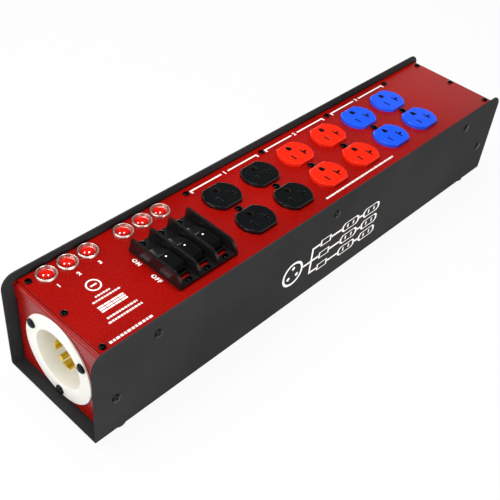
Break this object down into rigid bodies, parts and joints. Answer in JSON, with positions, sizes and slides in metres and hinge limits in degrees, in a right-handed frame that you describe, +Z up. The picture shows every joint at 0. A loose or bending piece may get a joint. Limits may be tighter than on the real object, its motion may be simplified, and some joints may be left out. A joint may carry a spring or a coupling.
{
  "type": "power distribution stringer box",
  "caption": "Long sheet-metal power stringer box with a recessed flanged inlet, guarded rocker breakers, pilot lamps and a row of duplex outlets in coloured pairs.",
  "frame": {"origin": "centre of the box's plan, on the surface that its rubber feet stand on", "axes": "+X from the inlet end to the far end, +Z up, -Y the near side"},
  "size_m": [0.52, 0.104, 0.1043],
  "materials": {
    "black_powder_coat": "satin powder coat",
    "red_powder_coat": "gloss powder coat",
    "rubber": "matt moulded",
    "black_outlet_nylon": "smooth moulded",
    "red_outlet_nylon": "smooth moulded",
    "blue_outlet_nylon": "smooth moulded",
    "phenolic": "moulded",
    "black_oxide_steel": "black oxide",
    "black_nylon": "smooth moulded",
    "steel": "ground",
    "chrome": "polished",
    "red_lens": "clear red moulding",
    "white_nylon": "smooth moulded",
    "brass": "bright",
    "zinc_plated_steel": "zinc plated"
  },
  "bodies": {
    "box": {"shell": "black_powder_coat", "top_panel": "red_powder_coat", "inlet_end_plate": "red_powder_coat", "far_end_plate": "red_powder_coat", "rubber_foot_1": "rubber", "rubber_foot_2": "rubber", "rubber_foot_3": "rubber", "rubber_foot_4": "rubber", "outlet_face_1": "black_outlet_nylon", "outlet_face_2": "black_outlet_nylon", "outlet_face_3": "red_outlet_nylon", "outlet_face_4": "red_outlet_nylon", "outlet_face_5": "blue_outlet_nylon", "outlet_face_6": "blue_outlet_nylon", "outlet_body_1": "phenolic", "outlet_body_2": "phenolic", "outlet_body_3": "phenolic", "outlet_body_4": "phenolic", "outlet_body_5": "phenolic", "outlet_body_6": "phenolic", "outlet_screw_1": "black_oxide_steel", "outlet_screw_2": "black_oxide_steel", "outlet_screw_3": "black_oxide_steel", "outlet_screw_4": "black_oxide_steel", "outlet_screw_5": "black_oxide_steel", "outlet_screw_6": "black_oxide_steel", "breaker_guard": "black_nylon", "breaker_body_1": "phenolic", "breaker_body_2": "phenolic", "breaker_body_3": "phenolic", "breaker_pin_1": "steel", "breaker_pin_2": "steel", "breaker_pin_3": "steel", "lamp_bezel_1": "chrome", "lamp_bezel_2": "chrome", "lamp_bezel_3": "chrome", "lamp_bezel_4": "chrome", "lamp_bezel_5": "chrome", "lamp_bezel_6": "chrome", "lamp_lens_1": "red_lens", "lamp_lens_2": "red_lens", "lamp_lens_3": "red_lens", "lamp_lens_4": "red_lens", "lamp_lens_5": "red_lens", "lamp_lens_6": "red_lens", "inlet_housing": "white_nylon", "inlet_blade_x": "brass", "inlet_blade_y": "brass", "inlet_blade_z": "brass", "inlet_blade_neutral": "brass", "inlet_ground_pin": "brass", "inlet_screw_1": "black_oxide_steel", "inlet_screw_2": "black_oxide_steel", "inlet_screw_3": "black_oxide_steel", "bus_bracket": "zinc_plated_steel", "neutral_bar": "brass", "ground_bar": "brass"},
    "rocker_1": {"breaker_rocker_1": "black_nylon"},
    "rocker_2": {"breaker_rocker_2": "black_nylon"},
    "rocker_3": {"breaker_rocker_3": "black_nylon"}
  },
  "joints": [
    {"name": "rocker_1_tilt", "type": "hinge", "parent": "box", "child": "rocker_1", "pos_m": [-0.1561, -0.009, 0.0883], "axis": [1, 0, 0], "range_deg": [0, 22]},
    {"name": "rocker_2_tilt", "type": "hinge", "parent": "box", "child": "rocker_2", "pos_m": [-0.13705, -0.009, 0.0883], "axis": [1, 0, 0], "range_deg": [0, 22]},
    {"name": "rocker_3_tilt", "type": "hinge", "parent": "box", "child": "rocker_3", "pos_m": [-0.118, -0.009, 0.0883], "axis": [1, 0, 0], "range_deg": [0, 22]}
  ]
}
